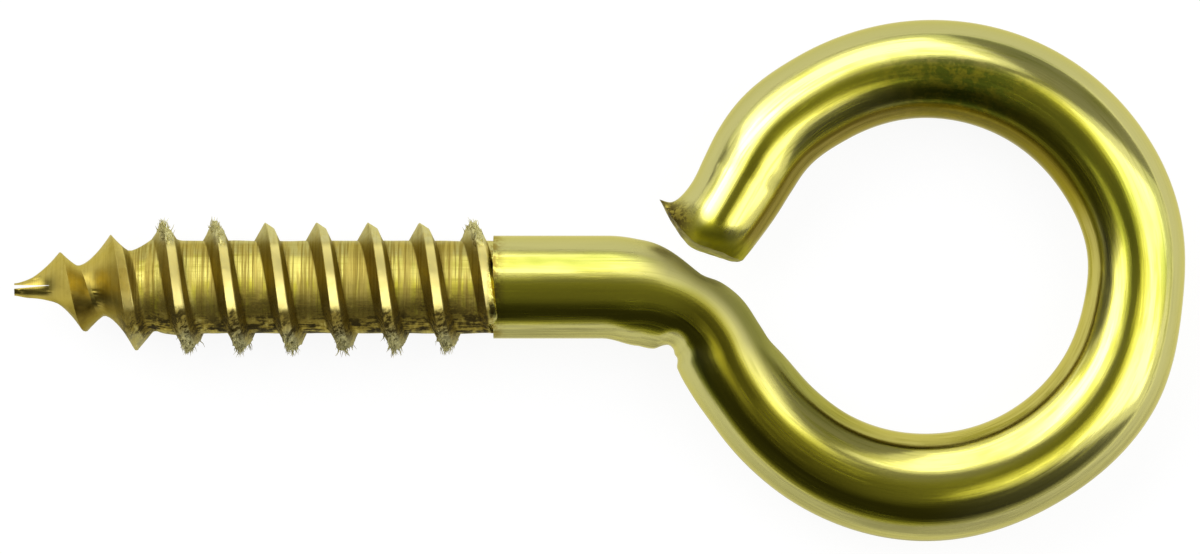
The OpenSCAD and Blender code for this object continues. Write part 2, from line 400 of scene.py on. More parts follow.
def sweep_thread():
    thread = chain_of_points([THREAD_START + p * MM for p in OUTLINE], CORE_R)
    sweep = thread.modifiers.new("sweep", "SCREW")
    sweep.axis, sweep.angle, sweep.screw_offset = "X", 2 * pi, PITCH
    sweep.steps = sweep.render_steps = ROUND_STEPS
    sweep.iterations = int((THREAD_LENGTH + 3 * PITCH) / PITCH)
    sweep.use_merge_vertices, sweep.merge_threshold = True, 0.002 * MM
    bpy.ops.object.modifier_apply(modifier=sweep.name)
    bpy.ops.object.mode_set(mode="EDIT")
    bpy.ops.mesh.select_all(action="SELECT")
    bpy.ops.mesh.remove_doubles(threshold=0.02 * MM)
    bpy.ops.object.mode_set(mode="OBJECT")
    thread.name = "thread"
    return thread


thread = sweep_thread()
xs = [v.co.x / MM for v in thread.data.vertices]
print("swept thread:", len(xs), "points, x from", round(min(xs), 2), "to", round(max(xs), 2))

# %% [markdown]
# ## A torn crest
# The crest of a cheaply cut thread is not a clean edge. Along the lower side of the screw,
# and at a few spots on the upper, the metal has torn into small teeth. The tear is a share
# between 0 and 1, and two sizes of noise, which is random but smooth and the same each run,
# push the torn part of the crest in and out and a little along.

# %% How torn the crest is
FAINTLY_TORN, TORN_BELOW, TORN_ABOVE = 0.04, 0.9, 1.2
TORN_FROM, TORN_FADE = 4.6, 1.5  # on the lower side, mm past the tip
TORN_SPOTS, SPOT_RUN = (5.75, 7.8, 17.8), 0.9  # on the upper side, mm past the tip
SIDE_FROM, SIDE_FADE = 0.55, 0.4  # how far round a side reaches, as a cosine


def ragged_at(x, turn):
    """How badly the crest is torn: along the lower side, and at three spots on the upper."""
    past = (x - TIP_X) / MM
    lower = ease((-cos(turn) - SIDE_FROM) / SIDE_FADE) * ease((past - TORN_FROM) / TORN_FADE)
    spots = max(hump(past, at, SPOT_RUN) for at in TORN_SPOTS)
    upper = ease((cos(turn) - SIDE_FROM) / SIDE_FADE) * spots
    return FAINTLY_TORN + TORN_BELOW * lower + TORN_ABOVE * upper


def place_on_thread(x, y, z):
    """How far round a point is, and how far along X from the nearest crest."""
    turn = atan2(z, y)
    past = x - THREAD_START - PITCH * turn / (2 * pi)
    return turn, (past + PITCH / 2) % PITCH - PITCH / 2


for past in (2, 7.8, 12):
    x = TIP_X + past * MM
    print(past, "mm past the tip, torn above and below:",
          round(ragged_at(x, 0), 2), round(ragged_at(x, pi), 2))

# %% Shape the point, the ridge and its crest
MEAN_R = 2.2 * MM  # noise is read on a plain cylinder, so that it is the same at any depth
SMALL_TEETH, BIG_TEETH = 0.1 * MM, 0.28 * MM
SMALL_HEIGHT, BIG_HEIGHT, TORN_OFF = 0.35, 0.15, 0.1
SWAY_SIZE, SWAY = 0.13 * MM, 0.2 * MM
WAVE_SIZE, WAVE = 1.1 * MM, 0.035 * MM
DROOP, DROOP_RUN = 0.12 * MM, 1.2 * MM  # the tip is bent down a little


def shape_thread(thread):
    for v in thread.data.vertices:
        x, y, z = v.co
        turn, from_crest = place_on_thread(x, y, z)
        crest_x = x - from_crest
        share = ridge_share(from_crest, crest_x)
        r = core_r_at(x) + (crest_r_at(crest_x) - core_r_at(crest_x)) * share
        around = Vector((x, MEAN_R * cos(turn), MEAN_R * sin(turn)))
        torn = ragged_at(crest_x, turn) * clamp((share - 0.55) / 0.4)
        small, big = noise.noise(around / SMALL_TEETH), noise.noise(around / BIG_TEETH)
        r += torn * (small * SMALL_HEIGHT + big * BIG_HEIGHT - TORN_OFF) * MM
        r += WAVE * noise.noise(around / WAVE_SIZE) * clamp(r / MM - 0.6)
        x += torn * SWAY * noise.noise(around / SWAY_SIZE + Vector((9, 9, 9)))
        droop = DROOP * (1 - ease((x - TIP_X) / DROOP_RUN))
        v.co = (x, SHANK_Y - droop + r * cos(turn), r * sin(turn))


def cut_across(piece, x, keep_right):
    """Cuts the thread square across at x, throws one side away and closes the hole."""
    bpy.ops.object.mode_set(mode="EDIT")
    bpy.ops.mesh.select_all(action="SELECT")
    bpy.ops.mesh.bisect(
        plane_co=(x, 0, 0), plane_no=(1, 0, 0), use_fill=True,
        clear_inner=keep_right, clear_outer=not keep_right, threshold=0.0001 * MM,
    )
    bpy.ops.object.mode_set(mode="OBJECT")


def tidy_normals():
    """Merges doubles and turns every face of the active piece outwards."""
    bpy.ops.object.mode_set(mode="EDIT")
    bpy.ops.mesh.select_all(action="SELECT")
    bpy.ops.mesh.remove_doubles(threshold=0.0005 * MM)
    bpy.ops.mesh.normals_make_consistent(inside=False)
    bpy.ops.object.mode_set(mode="OBJECT")


shape_thread(thread)
cut_across(thread, TIP_X + 0.02 * MM, keep_right=True)
cut_across(thread, SHOULDER_X + 0.45 * MM, keep_right=False)
tidy_normals()
print("thread:", len(thread.data.polygons), "faces")

# %% [markdown]
# ## Burrs on the crest
# Where the thread was cut badly, its crest ends in fine hairs of metal. A hair system would
# be easy, but it isn't part of the mesh. So one hair is a thin cone of five sides, bent a
# little, and copies of it are set in the crest at the torn spots, with their feet inside the
# ridge. Each copy has its own length and lean. Places are drawn at random and kept more
# often the more the crest is torn there.

# %% One hair
HAIR_FOOT, HAIR_TIP, HAIR_BEND = 0.022 * MM, 0.004 * MM, 0.05 * MM


def one_hair():
    """A hair 1 mm long, bent halfway up."""
    deselect_all()
    bpy.ops.mesh.primitive_cone_add(
        vertices=5, radius1=HAIR_FOOT, radius2=HAIR_TIP, depth=1 * MM, location=(0, 0, 0.5 * MM)
    )
    hair = bpy.context.object
    bpy.ops.object.transform_apply(location=True, rotation=True, scale=True)
    bpy.ops.object.mode_set(mode="EDIT")
    bpy.ops.mesh.select_all(action="SELECT")
    bpy.ops.mesh.bisect(plane_co=(0, 0, 0.5 * MM), plane_no=(0, 0, 1))
    bpy.ops.transform.translate(value=(HAIR_BEND, 0, 0))
    bpy.ops.object.mode_set(mode="OBJECT")
    return hair


hair = one_hair()
print("one hair:", len(hair.data.polygons), "faces")

# %% Set the hairs
HAIRS = 700
HAIR_ROOT = 0.06 * MM  # how deep its foot sits in the ridge
SHORTEST, LONGEST = 0.12, 0.4  # mm
LEAN = 0.35
chance = Random(7)


def hair_place(crest, turn):
    """Draws where one hair stands near the crest, which way it points and how long it is."""
    x = crest + chance.gauss(0.06, 0.1) * MM
    _, from_crest = place_on_thread(x, cos(turn), sin(turn))
    r = core_r_at(x) + (crest_r_at(crest) - core_r_at(x)) * ridge_share(from_crest, crest)
    r -= HAIR_ROOT
    root = Vector((x, SHANK_Y + r * cos(turn), r * sin(turn)))
    out = Vector((chance.gauss(0, LEAN), cos(turn), sin(turn) + chance.gauss(0, LEAN)))
    aim = out.to_track_quat("Z", "X").to_matrix().to_4x4()
    spin = Matrix.Rotation(chance.uniform(0, 2 * pi), 4, "Z")
    length = Matrix.Diagonal((1, 1, chance.uniform(SHORTEST, LONGEST), 1))
    return Matrix.Translation(root) @ aim @ spin @ length


def set_hairs(hair):
    """Copies the hair into the torn places; returns one mesh with all of them."""
    made = bmesh.new()
    placed = 0
    while placed < HAIRS:
        turn = chance.uniform(-pi, pi)
        crest = THREAD_START + PITCH * (turn / (2 * pi) + chance.randrange(3, 12))
        torn = ragged_at(crest, turn)
        if crest > SHOULDER_X or chance.random() > torn - FAINTLY_TORN:
            continue
        before = len(made.verts)
        made.from_mesh(hair.data)
        made.verts.ensure_lookup_table()
        bmesh.ops.transform(made, matrix=hair_place(crest, turn), verts=made.verts[before:])
        placed += 1
    made.to_mesh(hair.data)
    made.free()
    hair.name = "hairs"
    return hair


hairs = set_hairs(hair)
print("hairs:", HAIRS, "with", len(hairs.data.polygons), "faces")

# %% [markdown]
# ## One piece of brass
# When the point was pinched off, the wire split there: a narrow wedge, taken out with a
# Boolean modifier, leaves the same gap. Thread and wire are one piece of metal, so a second
# Boolean makes one skin of them. It leaves points that only split an edge in two, and faces
# that are thinner than a hair. Both are dissolved, because they would give stray faces. The
# burrs are joined as they are, with their feet inside the crest: cutting 700 of them into the
# skin would add nothing that shows.

# %% Split the point
SPLIT_LENGTH, SPLIT_WIDTH = 2.0 * MM, 0.2 * MM
SPLIT_MIDDLE_Y = SHANK_Y - 0.02 * MM
SPLIT_END_Y, SPLIT_END_WIDTH = SHANK_Y + 0.06 * MM, 0.01 * MM


def splitting_wedge():
    """A box through the whole tip, pinched together at its inner end."""
    deselect_all()
    bpy.ops.mesh.primitive_cube_add(size=1, location=(TIP_X + 0.4 * MM, SPLIT_MIDDLE_Y, 0))
    wedge = bpy.context.object
    wedge.scale = (SPLIT_LENGTH, SPLIT_WIDTH, 2 * WIRE_R)
    bpy.ops.object.transform_apply(location=True, rotation=True, scale=True)
    for v in wedge.data.vertices:
        if v.co.x > TIP_X:
            v.co.y = SPLIT_END_Y + (SPLIT_END_WIDTH if v.co.y > SPLIT_MIDDLE_Y else 0)
    return wedge


def select_only(*pieces):
    """Selects the pieces and makes the first one active."""
    deselect_all()
    for piece in pieces:
        piece.select_set(True)
    bpy.context.view_layer.objects.active = pieces[0]


def boolean(piece, tool, operation):
    select_only(piece)
    step = piece.modifiers.new("step", "BOOLEAN")
    step.operation, step.object, step.solver = operation, tool, "EXACT"
    bpy.ops.object.modifier_apply(modifier=step.name)
    bpy.data.objects.remove(tool)


boolean(thread, splitting_wedge(), "DIFFERENCE")
print("split thread:", len(thread.data.polygons), "faces")

# %% Join the thread to the wire
SLIVER = 0.003 * MM


def drop_idle_points(piece):
    """Dissolves the points that only split an edge in two."""
    bpy.ops.object.mode_set(mode="EDIT")
    bpy.ops.mesh.select_mode(type="VERT")
    bpy.ops.mesh.select_all(action="DESELECT")
    bpy.ops.object.mode_set(mode="OBJECT")
    edges_at = Counter(i for edge in piece.data.edges for i in edge.vertices)
    for v in piece.data.vertices:
        v.select = edges_at[v.index] == 2
    bpy.ops.object.mode_set(mode="EDIT")
    bpy.ops.mesh.dissolve_verts()
    bpy.ops.object.mode_set(mode="OBJECT")


def clean_seams(piece):
    """Takes out what the Boolean leaves along its seams: idle points and slivers."""
    drop_idle_points(piece)
    bpy.ops.object.mode_set(mode="EDIT")
    bpy.ops.mesh.select_all(action="SELECT")
    bpy.ops.mesh.dissolve_degenerate(threshold=SLIVER)
    bpy.ops.object.mode_set(mode="OBJECT")
    drop_idle_points(piece)
    tidy_normals()


select_only(wire)
tidy_normals()
boolean(wire, thread, "UNION")
print("wire and thread in one skin:", len(wire.data.polygons), "faces")
clean_seams(wire)
print("with clean seams:", len(wire.data.polygons), "faces")

# %% Add the burrs
select_only(wire, hairs)
bpy.ops.object.join()
wire.name = "brass_screw_eye"
check = bmesh.new()
check.from_mesh(wire.data)
print("joined:", len(check.faces), "faces, volume", round(check.calc_volume() / MM ** 3, 1),
      "mm3, open edges", sum(1 for e in check.edges if len(e.link_faces) != 2))
check.free()

# %% [markdown]
# ## Notes on the surface
# The finish follows the wire round its bends, so places in space are no use to it, and an
# unwrapped UV map would have a seam. Each vertex keeps notes instead. `drawn` says how far
# along the wire it is, how far across and how high. `marks` holds shares between 0 and 1
# for the thread as a whole, for the bare strand on its crest and for its flanks. `wear` does
# so for the dirty cut end, the pressed neck and the point, and `torn` for the torn crest. A
# material reads such notes by name with an Attribute node.


# %% Places along the wire
def along_and_across(point):
    """How far along the wire and how far across it a point lies, by the stretch it is in."""
    x, y = point.x, point.y
    past = Vector((x, y, 0)) - TAIL_OUT * EYE_R
    if 0 < past.dot(TAIL_ALONG) < 1.1 * TAIL and abs(past.dot(TAIL_OUT)) < 1.5 * WIRE_R:
        return TAIL_AT + past.dot(TAIL_ALONG), -past.dot(TAIL_OUT)
    if x < NECK_X:
        return x - SHOULDER_X, y - SHANK_Y
    turn = pi / 2 - atan2(y - NECK_Y, x - NECK_X)
    if 0 <= turn <= NECK_TURN and hypot(x - NECK_X, y - NECK_Y) < NECK_R + 1.2 * WIRE_R:
        return NECK_AT + turn * NECK_R, hypot(x - NECK_X, y - NECK_Y) - NECK_R
    turn = (atan2(y, x) - EYE_START) % (2 * pi)
    return EYE_AT + turn * EYE_R, EYE_R - hypot(x, y)


print("the far side of the eye is", round(along_and_across(Vector((EYE_R, 0, 0)))[0] / MM, 1),
      "mm along the wire")


# %% Shares for the thread and for wear
def thread_notes(x, y, z):
    """Shares for the thread as a whole, for the bare strand on its crest, and for its flanks."""
    on_thread = ease((SHOULDER_X - x) / (0.12 * MM))
    if not on_thread:
        return 0.0, 0.0, 0.0
    _, p = place_on_thread(x, y, z)
    p /= MM
    ridge = on_thread * ease((x - TIP_X - 3.4 * MM) / (1.2 * MM))
    last = ease((x - SHOULDER_X + RUN_OUT) / (0.5 * MM))
    wide = STRAND + 0.5 * last
    strand = ease((p + 0.03) / 0.03) * (1 - ease((p - wide) / 0.04))
    foot = STRAND + BACK_FLANK
    front = ease((p + FRONT_FLANK + 0.03) / 0.03) * (1 - ease((p + 0.04) / 0.04))
    back = ease((p - STRAND) / 0.03) * (1 - ease((p - foot) / 0.03)) * (1 - last)
    return on_thread, ridge * strand, ridge * max(front, back)


def torn_note(x, y, z):
    """How torn the crest is at a point, which is 0 below the crest and past the shoulder."""
    turn, from_crest = place_on_thread(x, y, z)
    on_crest = ease((hypot(y, z) - 2.1 * MM) / (0.2 * MM)) * (x < SHOULDER_X)
    return clamp(ragged_at(x - from_crest, turn)) * on_crest


def wear_notes(x, s, across):
    """Shares for the cut end, for the flat that is pressed into the neck, and for the point."""
    cut = ease((s - END_AT + 1.6 * MM) / (0.9 * MM)) if s > TAIL_AT else 0.0
    flat = clamp(between((s - NECK_AT) / MM, FLAT) / 0.5)
    pressed = flat * ease((across + 0.1 * MM) / (0.9 * MM)) if s < TAIL_AT else 0.0
    point = 1 - ease((x - TIP_X - 3.6 * MM) / (1.4 * MM))
    return cut, pressed, point


x = TIP_X + THREAD_LENGTH / 2
print("notes halfway along the thread:", thread_notes(x, CORE_R, 0.0))


# %% Write the notes
def write_notes(piece):
    mesh = piece.data
    drawn, marks, wear, torn = [], [], [], []
    for v in mesh.vertices:
        x, y, z = v.co
        s, across = along_and_across(v.co)
        drawn += [s, across, z]
        marks += thread_notes(x, y - SHANK_Y, z)
        wear += wear_notes(x, s, across)
        torn.append(torn_note(x, y - SHANK_Y, z))
    for name, values in (("drawn", drawn), ("marks", marks), ("wear", wear)):
        mesh.attributes.new(name, "FLOAT_VECTOR", "POINT").data.foreach_set("vector", values)
    mesh.attributes.new("torn", "FLOAT", "POINT").data.foreach_set("value", torn)
    return ["drawn", "marks", "wear", "torn"]


print("notes:", write_notes(wire), "on", len(wire.data.vertices), "vertices")

# %% [markdown]
# ## Building a material in code
# A node editor is the usual place to build a material. In code the same nodes are easier to
# repeat, as long as each needs only a word or two. The first class keeps one node tree and
# adds nodes to it: every method returns the new node's output, which goes straight into the
# next one. A `share` is a number between 0 and 1 that says how much of a layer shows. The
# second class adds what a metal finish needs: colours in layers, noise and notes.


# %% Node trees and shares
class Nodes:
    """The node tree of a material or a world, built up from nothing."""

    def __init__(self, owner):
        owner.use_nodes = True
        self.tree = owner.node_tree
        self.tree.nodes.clear()

    def put(self, value, socket):
        """Links the value to the socket if it comes from a node, and else sets it there."""
        if isinstance(value, bpy.types.NodeSocket):
            self.tree.links.new(value, socket)
        else:
            socket.default_value = value

    def add(self, kind, inputs=None, **settings):
        """Adds a node, sets it up, and gives it its inputs."""
        made = self.tree.nodes.new("ShaderNode" + kind)
        for key, value in settings.items():
            setattr(made, key, value)
        for key, value in (inputs or {}).items():
            self.put(value, made.inputs[key])
        return made

    def math(self, operation, *values, clamp_it=False):
        made = self.add("Math", dict(enumerate(values)), operation=operation, use_clamp=clamp_it)
        return made.outputs[0]

    def chain(self, operation, values):
        made = values[0]
        for value in values[1:]:
            made = self.math(operation, made, value)
        return made

    def times(self, *values):
        return self.chain("MULTIPLY", values)

    def most(self, *values):
        return self.chain("MAXIMUM", values)

    def plus(self, a, b):
        return self.math("ADD", a, b)

    def without(self, share):
        return self.math("SUBTRACT", 1.0, share)

    def fade(self, value, start, end, low_value=0.0, high_value=1.0):
        """A soft step: low_value up to the start, high_value from the end on."""
        return self.add("MapRange", {
            "Value": value, "From Min": start, "From Max": end,
            "To Min": low_value, "To Max": high_value}, interpolation_type="SMOOTHSTEP",
        ).outputs["Result"]

    def fade_out(self, value, start, end, high_value=1.0, low_value=0.0):
        return self.fade(value, start, end, high_value, low_value)

    def span(self, value, start, full, ending, end):
        """A share that rises from start to full, and falls from ending to end."""
        return self.times(self.fade(value, start, full), self.fade_out(value, ending, end))


print("shares are made with:", [word for word in vars(Nodes) if not word.startswith("_")])


# %% Layers, noise and notes
class Finish(Nodes):
    """A node tree for the finish of a metal."""

    def mix(self, share, a, b):
        """The colour a with a share of the colour b laid over it."""
        made = self.add("Mix", data_type="RGBA")
        for socket, value in ((0, share), (6, a), (7, b)):
            self.put(value, made.inputs[socket])
        return made.outputs[2]

    def grain(self, where, stretch, detail=3.0, roughness=0.55, shift=(0, 0, 0)):
        """Noise with its own fineness along each of the three directions."""
        place = self.add("Mapping", {"Vector": where, "Scale": stretch, "Location": shift})
        return self.add("TexNoise", {
            "Vector": place.outputs[0], "Scale": 1.0, "Detail": detail, "Roughness": roughness,
        }).outputs["Fac"]

    def around_zero(self, noise_value, size):
        """Noise lies around a half; this makes it wander by about size round 0."""
        return self.times(self.math("SUBTRACT", noise_value, 0.5), size)

    def facing(self, normal, direction):
        """How much a face looks in a direction: 1 when square to it, less than 0 when away."""
        return self.add(
            "VectorMath", {0: normal, 1: direction}, operation="DOT_PRODUCT"
        ).outputs["Value"]

    def note(self, name):
        """The note's vector, and its three parts."""
        made = self.add("Attribute", attribute_name=name).outputs["Vector"]
        return made, self.add("SeparateXYZ", {0: made}).outputs


print("a finish adds:", [word for word in vars(Finish) if not word.startswith("_")])

# %% [markdown]
# ## Brass in layers
# The wire is solid brass, drawn bright through a die and then handled. So the metal is a
# yellow with a green cast, smooth enough to mirror the lamps, with fine lines along it.
# Image textures would need a seam and a painter. Instead the finish is laid on like paint,
# from the metal up: every layer is a colour and a share, and each cell below adds a few.
# The colours come first, with the noise that breaks the layers up. Noise on `drawn` runs
# along the wire, and noise on Object coordinates runs round the thread as on a lathe.

# %% Colours of the metal and of what lies on it
# The first two are lit and shaded copies of one brass: painted light and shade.
LIT_BRASS = (0.84, 0.78, 0.21, 1)
SHADED_BRASS = (0.72, 0.66, 0.05, 1)
# A paler brass, for a painted highlight.
PALE = (0.90, 0.85, 0.27, 1)
# Straw: the painted highlight on the strand.
STRAW = (0.98, 0.85, 0.30, 1)
GOLD = (0.50, 0.39, 0.08, 1)
DULL = (0.50, 0.40, 0.09, 1)
# Khaki: the dull pressed flat, and on the sides partly a film and partly painted shade.
KHAKI = (0.50, 0.47, 0.18, 1)
OLIVE = (0.42, 0.40, 0.025, 1)
# Moss: a painted shade on the side of the neck that looks into the eye.
MOSS = (0.20, 0.21, 0.02, 1)
# Shady: a painted shade in the crook of the neck.
SHADY = (0.28, 0.24, 0.015, 1)
VERDIGRIS = (0.22, 0.32, 0.03, 1)
UMBER = (0.30, 0.225, 0.04, 1)
# Brown: painted shade inside the eye, dirt and painted shade on the flanks, the point's lower
# side.
BROWN = (0.15, 0.10, 0.012, 1)
# Dust on the torn crest, and a painted sheen on the thread's outer rims.
DUST_AND_SHEEN = (0.66, 0.63, 0.33, 1)
DIRT = (0.05, 0.035, 0.006, 1)
EDGE = (0.89, 0.84, 0.50, 1)  # what brass mirrors at a grazing angle
print("bright brass mirrors", round(sum(LIT_BRASS[:3]) / 3, 2), "of the light, dirt",
      round(sum(DIRT[:3]) / 3, 2))

# %% Notes and noise
drawn_brass = bpy.data.materials.new("drawn_brass")
brass = Finish(drawn_brass)
fade, fade_out, span = brass.fade, brass.fade_out, brass.span
times, most, without = brass.times, brass.most, brass.without

place = brass.add("TexCoord").outputs["Object"]
normal = brass.add("NewGeometry").outputs["Normal"]
drawn, (along, across, _) = brass.note("drawn")
_, (on_thread, strand, flank) = brass.note("marks")
_, (cut, pressed, point) = brass.note("wear")
torn = brass.add("Attribute", attribute_name="torn").outputs["Fac"]

lines = brass.grain(drawn, (150, 9000, 9000), 4, 0.7)
broad_lines = brass.grain(drawn, (110, 2600, 2600), 4, 0.65, (3, 1, 7))
patches = brass.grain(drawn, (170, 420, 420), 3, 0.6, (1, 5, 2))
stains = brass.grain(drawn, (60, 330, 330), 3, 0.6, (4, 2, 9))
turned = brass.grain(place, (13000, 260, 260), 2, 0.6)
worn_bands = brass.grain(place, (2600, 420, 420), 3, 0.6)
streaks = brass.grain(place, (700, 9000, 9000), 3, 0.65)
spots = brass.grain(place, (2200, 2200, 2200), 4, 0.7)
print("noise and notes:", len(brass.tree.nodes), "nodes")

# %% [markdown]
# ## The drawn wire
# The faces that look towards the soft boxes are painted a brighter brass and the rest a deeper
# gold: painted light and shade. Past the right side of the eye, the outer half of the wire is
# painted paler still where it faces the soft boxes: a painted highlight. A thin olive film sits
# in streaks along the drawing lines, and a little green verdigris has started, most of all
# inside the eye on its +Y side. One flat colour with more or less gloss would look like
# plastic, so the shares come from the notes and from the way that a face looks, with noise to
# make their borders uneven.

# %% Painted light and shade, film and verdigris
RIGHT_AT = EYE_AT + EYE_R * (radians(330) - EYE_START)
GREEN_AT = EYE_AT + EYE_R * (radians(440) - EYE_START)

# Painted light and shade: faces towards the soft boxes get the lit brass, the rest the shaded.
lamp_facing = most(brass.facing(normal, (-0.57, 0.82, 0)), brass.facing(normal, (1, -0.1, 0)))
shaded = fade_out(lamp_facing, 0.02, 0.24)
colour = brass.mix(shaded, LIT_BRASS, SHADED_BRASS)
# Painted highlight: past the eye's right side, its outer half is paler where it faces the lamps.
past_right_side = fade(along, RIGHT_AT - 4 * MM, RIGHT_AT)
pale_highlight = times(fade_out(across, -0.9 * MM, 0.1 * MM), past_right_side, without(shaded))
colour = brass.mix(pale_highlight, colour, PALE)

film = times(fade(broad_lines, 0.44, 0.62), fade(patches, 0.36, 0.6))
fine_film = times(fade(lines, 0.5, 0.66), fade(patches, 0.62, 0.42), 0.55)
colour = brass.mix(most(times(film, 0.75), fine_film), colour, OLIVE)

top_of_eye = span(along, GREEN_AT - 5 * MM, GREEN_AT, GREEN_AT, GREEN_AT + 5 * MM)
green = times(fade(across, -0.7 * MM, 0.0), fade(spots, 0.4, 0.56), top_of_eye)
green = most(green, times(fade(stains, 0.54, 0.68), 0.5))
colour = brass.mix(times(green, 0.8), colour, VERDIGRIS)
print("with film and verdigris:", len(brass.tree.nodes), "nodes")

# %% [markdown]
# ## Film and painted shade on the sides and in the bends
# The sides of the wire are a flat khaki outside the eye: partly a dull film, and partly painted
# shade for the piece's own shadow on the floor, which the sides mirror. Inside the eye they are
# painted brown, a painted shade for the shadowed floor that they mirror there. The flat that
# the pin pressed into the neck has lost its shine. The side of the neck that looks into the eye
# is painted moss-green, a painted shade for the dim reflection that it shows, and the crook of
# the neck is painted darker over a reflection of the soft boxes. A painted mask could place all
# this, but a face's own direction does it without one: `upward` is 1 where the wire faces up
# and falls to 0 at its sides.

# %% Sides, neck and crook
edge = brass.plus(across, brass.around_zero(patches, 0.3 * MM))
upward = brass.plus(brass.facing(normal, (0, 0, 1)), brass.around_zero(patches, 0.1))
sides = fade_out(upward, 0.67, 0.77)
in_eye = fade(along, EYE_AT + 1 * MM, EYE_AT + 6 * MM)
inner = times(fade(across, 0.0, 0.3 * MM), in_eye)
inner_shade_strength = fade(along, RIGHT_AT + 4 * MM, RIGHT_AT + 10 * MM, 0.45, 0.85)
colour = brass.mix(pressed, colour, KHAKI)
# On the outer sides the khaki is partly a dull film and partly painted shade for the mirrored
# shadow.
colour = brass.mix(times(sides, without(inner), 0.9), colour, KHAKI)
# Painted shade: inside the eye the sides are brown for the shadowed floor that they mirror.
colour = brass.mix(times(sides, inner, inner_shade_strength), colour, BROWN)

# Painted shade: moss-green where the neck's side looks into the eye and shows a dim reflection.
mouth = times(fade(across, 0.1 * MM, 1.3 * MM),
              fade(along, NECK_AT + 1 * MM, NECK_AT + 4 * MM),
              fade_out(along, EYE_AT + 2 * MM, EYE_AT + 10 * MM))
colour = brass.mix(times(mouth, fade_out(upward, 0.70, 0.92), 0.65), colour, MOSS)
# Painted shade: the crook of the neck is darkened over a reflection of the soft boxes.
crook = times(fade(edge, -1.0 * MM, -0.5 * MM),
              fade_out(edge, 0.1 * MM, 0.6 * MM),
              fade(along, NECK_AT + 1 * MM, NECK_AT + 3 * MM),
              fade_out(along, EYE_AT + 4 * MM, EYE_AT + 10 * MM))
colour = brass.mix(times(crook, 0.8), colour, SHADY)
colour = brass.mix(times(cut, 0.8), colour, OLIVE)
print("with tarnish:", len(brass.tree.nodes), "nodes")

# %% [markdown]
# ## The thread
# The thread was cut after the wire was drawn, so it has a finish of its own. Its core is dull
# and scratched round and round, and the point is a warm gold. The strand on its crest is
# painted a bright straw, except on the -Y side and less at the +Y rim: a painted highlight.
# Where the crest is torn it looks dusty, because light scatters between the teeth, and the
# outer rims of the thread, as seen from above, are painted paler: a painted sheen. A second
# material would need a border of faces, while shares can fade. `tide` is the place across the
# screw with some noise added, so that the brown on its lower side has an uneven border.

# %% Core, crest and point
# Painted highlight: the bright strand stays off the -Y side and is weaker at the +Y rim.
strand_lit = times(fade(edge, -1.0 * MM, -0.65 * MM), fade_out(across, 1.5 * MM, 1.75 * MM, 1.0, 0.3))
strand = times(strand, strand_lit)
core = times(on_thread, without(strand))
tide = brass.plus(across, brass.around_zero(brass.grain(place, (420, 350, 350), 2), 2.2 * MM))
low_third = fade_out(tide, -0.9 * MM, 0.3 * MM)
from_middle = brass.math("ABSOLUTE", across)
# Painted sheen: the thread's outer rims, as seen from above, are painted paler.
pale_rims = times(on_thread, without(point), fade(from_middle, 1.6 * MM, 1.9 * MM))

for share, layer in (
    (times(core, fade(worn_bands, 0.36, 0.6, 0.35, 1.0)), DULL),
    (times(core, fade(turned, 0.47, 0.6), 0.85), UMBER),
    (times(core, low_third, fade(spots, 0.3, 0.46), 0.9), UMBER),
    (strand, STRAW),
    (times(torn, 0.85), DUST_AND_SHEEN),
    (times(point, 0.75), GOLD),
    (times(point, fade_out(tide, -1.1 * MM, -0.4 * MM), 0.75), BROWN),
    (times(pale_rims, fade(spots, 0.35, 0.6, 0.25, 0.7)), DUST_AND_SHEEN),
):
    colour = brass.mix(share, colour, layer)
print("with the thread:", len(brass.tree.nodes), "nodes")

# %% [markdown]
# ## Dirt, and painted shade on the flanks
# Dark dirt sticks where nothing rubs it off: at the shoulder and on the outer side of the cut
# end. The flanks of the ridge are brown, partly dirt and partly painted shade in the narrow
# valley between the turns. The -Y side of the thread is darker in patches, and the sides of
# the wire that face -Y are darker in thin streaks. These come last, because they lie on top of
# everything else.

# %% Flanks, shoulder, cut end and dirt
tips = fade_out(from_middle, 1.65 * MM, 2.15 * MM, 1.0, 0.35)
low_side = fade_out(tide, -1.3 * MM, 0.2 * MM)
grime = brass.plus(times(spots, 0.6), times(streaks, 0.4))
at_shoulder = span(along, -0.2 * MM, 0.1 * MM, 0.1 * MM, 0.7 * MM)
lip = fade_out(across, -1.5 * MM, -0.3 * MM)
# The flanks are brown partly from dirt and partly as painted shade in the valley between turns.
colour = brass.mix(times(flank, tips, 0.75), colour, BROWN)
colour = brass.mix(times(at_shoulder, fade(spots, 0.4, 0.56)), colour, UMBER)
colour = brass.mix(times(cut, lip, 0.8), colour, UMBER)

# The sides of the wire that face -Y are made darker, in thin streaks.
low_faces = times(sides, without(on_thread), fade(brass.facing(normal, (0.2, -1, 0)), 0.25, 0.8))
# Dark patches on the -Y side of the thread, dirt at the lip of the cut end, and those streaks.
dirt = most(times(core, without(point), low_side, tips, fade(grime, 0.45, 0.56)),
            times(cut, lip, fade(grime, 0.43, 0.52)),
            times(low_faces, fade(broad_lines, 0.36, 0.64, 0.06, 0.34)))
colour = brass.mix(dirt, colour, DIRT)
print("with dirt:", len(brass.tree.nodes), "nodes")

# %% [markdown]
# ## Polish and scratches
# Clean drawn wire is nearly a mirror. Film, dirt, the cut core and the pressed neck are all
# rougher, so each adds its own part to the roughness. The drawing lines and the scratches on
# the core are far too fine for geometry, so two Bump nodes, one on top of the other, tilt
# the light instead. Dirt is no metal, so it takes the metallic share down.

